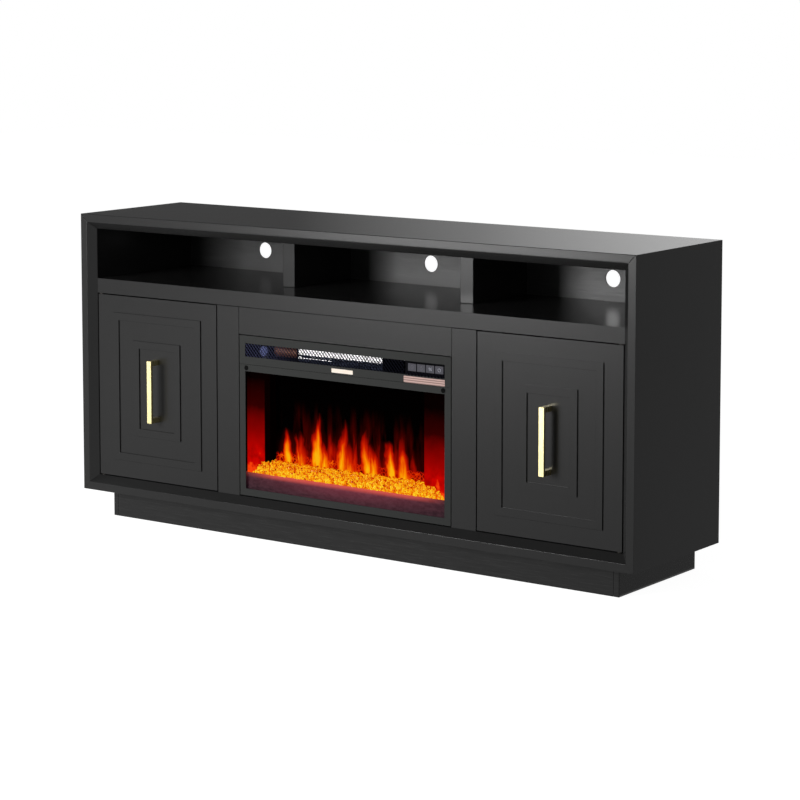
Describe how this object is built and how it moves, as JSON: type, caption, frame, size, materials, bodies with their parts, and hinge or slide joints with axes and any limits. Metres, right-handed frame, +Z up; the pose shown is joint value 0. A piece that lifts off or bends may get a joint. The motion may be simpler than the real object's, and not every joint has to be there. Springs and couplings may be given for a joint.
{
  "type": "electric fireplace",
  "caption": "Low media cabinet with a built-in electric fireplace behind glass, hinged cupboard doors with bar handles, open bays and a plinth.",
  "frame": {"origin": "on the floor under the middle of the case, on the underside of the plinth brace", "axes": "+X to the right as seen from the front, +Y to the back, +Z up"},
  "size_m": [1.676, 0.413, 0.8],
  "materials": {
    "case_board": "satin black painted wood grain",
    "front_board": "satin black painted, smooth",
    "inner_board": "satin black laminate",
    "back_board": "satin black laminate with a fine horizontal grain",
    "plinth_board": "satin black painted wood grain",
    "handle_metal": "satin pale gold",
    "steel_fastener": "zinc plated",
    "bush_brass": "turned brass",
    "catch_plastic": "black moulded",
    "insert_trim": "satin black-grey powder coat",
    "insert_shell": "black powder coat on sheet steel",
    "black_screw": "black oxide",
    "window_glass": "clear toughened",
    "mesh_metal": "black fine wire mesh",
    "key_plastic": "grey moulded keys",
    "panel_plastic": "black gloss",
    "heater_metal": "bright finned aluminium",
    "duct_metal": "galvanised sheet",
    "motor_metal": "brown varnished motor",
    "cutout_plastic": "blue-grey phenolic",
    "screen_plastic": "dark diffusing flame screen",
    "reflector_metal": "red-lit side reflector",
    "tray_metal": "matt grey ember tray",
    "ember_crystal": "amber-lit crystal chips",
    "circuit_board": "green circuit board",
    "gland_rubber": "black moulded rubber",
    "rotor_metal": "bare aluminium"
  },
  "bodies": {
    "cabinet": {"top_panel": "case_board", "bottom_panel": "case_board", "left_side_panel": "case_board", "right_side_panel": "case_board", "shelf_panel": "inner_board", "left_bay_divider": "inner_board", "right_bay_divider": "inner_board", "left_bay_back": "back_board", "middle_bay_back": "back_board", "right_bay_back": "back_board", "lower_back_panel": "back_board", "left_partition": "inner_board", "right_partition": "inner_board", "left_stile": "front_board", "right_stile": "front_board", "header_panel": "front_board", "left_cupboard_shelf": "inner_board", "right_cupboard_shelf": "inner_board", "shelf_pins": "steel_fastener", "plinth_front": "plinth_board", "plinth_left": "plinth_board", "plinth_right": "plinth_board", "plinth_cross_boards": "plinth_board", "pivot_bushes": "bush_brass", "door_catches": "catch_plastic", "insert_housing": "insert_shell", "vent_trim": "insert_trim", "window_frame": "insert_trim", "frame_screws": "black_screw", "window_glass": "window_glass", "vent_mesh": "mesh_metal", "key_panel": "panel_plastic", "heater_element": "heater_metal", "blower_housing": "duct_metal", "blower_motor": "motor_metal", "thermal_cutout": "cutout_plastic", "flame_screen": "screen_plastic", "left_reflector": "reflector_metal", "right_reflector": "reflector_metal", "ember_tray": "tray_metal", "ember_bed": "ember_crystal", "spindle_motor": "duct_metal", "led_boards": "circuit_board", "control_board": "circuit_board", "mounting_brackets": "steel_fastener", "cord_gland": "gland_rubber"},
    "left_door": {"left_door_panel": "front_board", "left_door_mouldings": "front_board", "left_handle": "handle_metal", "left_door_fittings": "steel_fastener"},
    "right_door": {"right_door_panel": "front_board", "right_door_mouldings": "front_board", "right_handle": "handle_metal", "right_door_fittings": "steel_fastener"},
    "blower_rotor": {"blower_wheel": "rotor_metal"},
    "spindle_rotor": {"flame_spindle": "rotor_metal"},
    "power_button": {"power_key": "key_plastic"},
    "heat_button": {"heat_key": "key_plastic"},
    "flame_button": {"flame_key": "key_plastic"},
    "timer_button": {"timer_key": "key_plastic"}
  },
  "joints": [
    {"name": "left_door_hinge", "type": "hinge", "parent": "cabinet", "child": "left_door", "pos_m": [-0.788, -0.175, 0.352], "axis": [0, 0, -1], "range_deg": [0, 105]},
    {"name": "right_door_hinge", "type": "hinge", "parent": "cabinet", "child": "right_door", "pos_m": [0.788, -0.175, 0.352], "axis": [0, 0, 1], "range_deg": [0, 105]},
    {"name": "blower_spin", "type": "hinge", "parent": "cabinet", "child": "blower_rotor", "pos_m": [-0.022, -0.099, 0.48435], "axis": [1, 0, 0], "continuous": true},
    {"name": "spindle_spin", "type": "hinge", "parent": "cabinet", "child": "spindle_rotor", "pos_m": [0, -0.1114, 0.177], "axis": [1, 0, 0], "continuous": true},
    {"name": "power_press", "type": "slide", "parent": "cabinet", "child": "power_button", "axis": [0, 1, 0], "range_m": [0, 0.001], "stiffness_N_per_m": 500, "springref_m": -0.0005},
    {"name": "heat_press", "type": "slide", "parent": "cabinet", "child": "heat_button", "axis": [0, 1, 0], "range_m": [0, 0.001], "stiffness_N_per_m": 500, "springref_m": -0.0005},
    {"name": "flame_press", "type": "slide", "parent": "cabinet", "child": "flame_button", "axis": [0, 1, 0], "range_m": [0, 0.001], "stiffness_N_per_m": 500, "springref_m": -0.0005},
    {"name": "timer_press", "type": "slide", "parent": "cabinet", "child": "timer_button", "axis": [0, 1, 0], "range_m": [0, 0.001], "stiffness_N_per_m": 500, "springref_m": -0.0005}
  ]
}
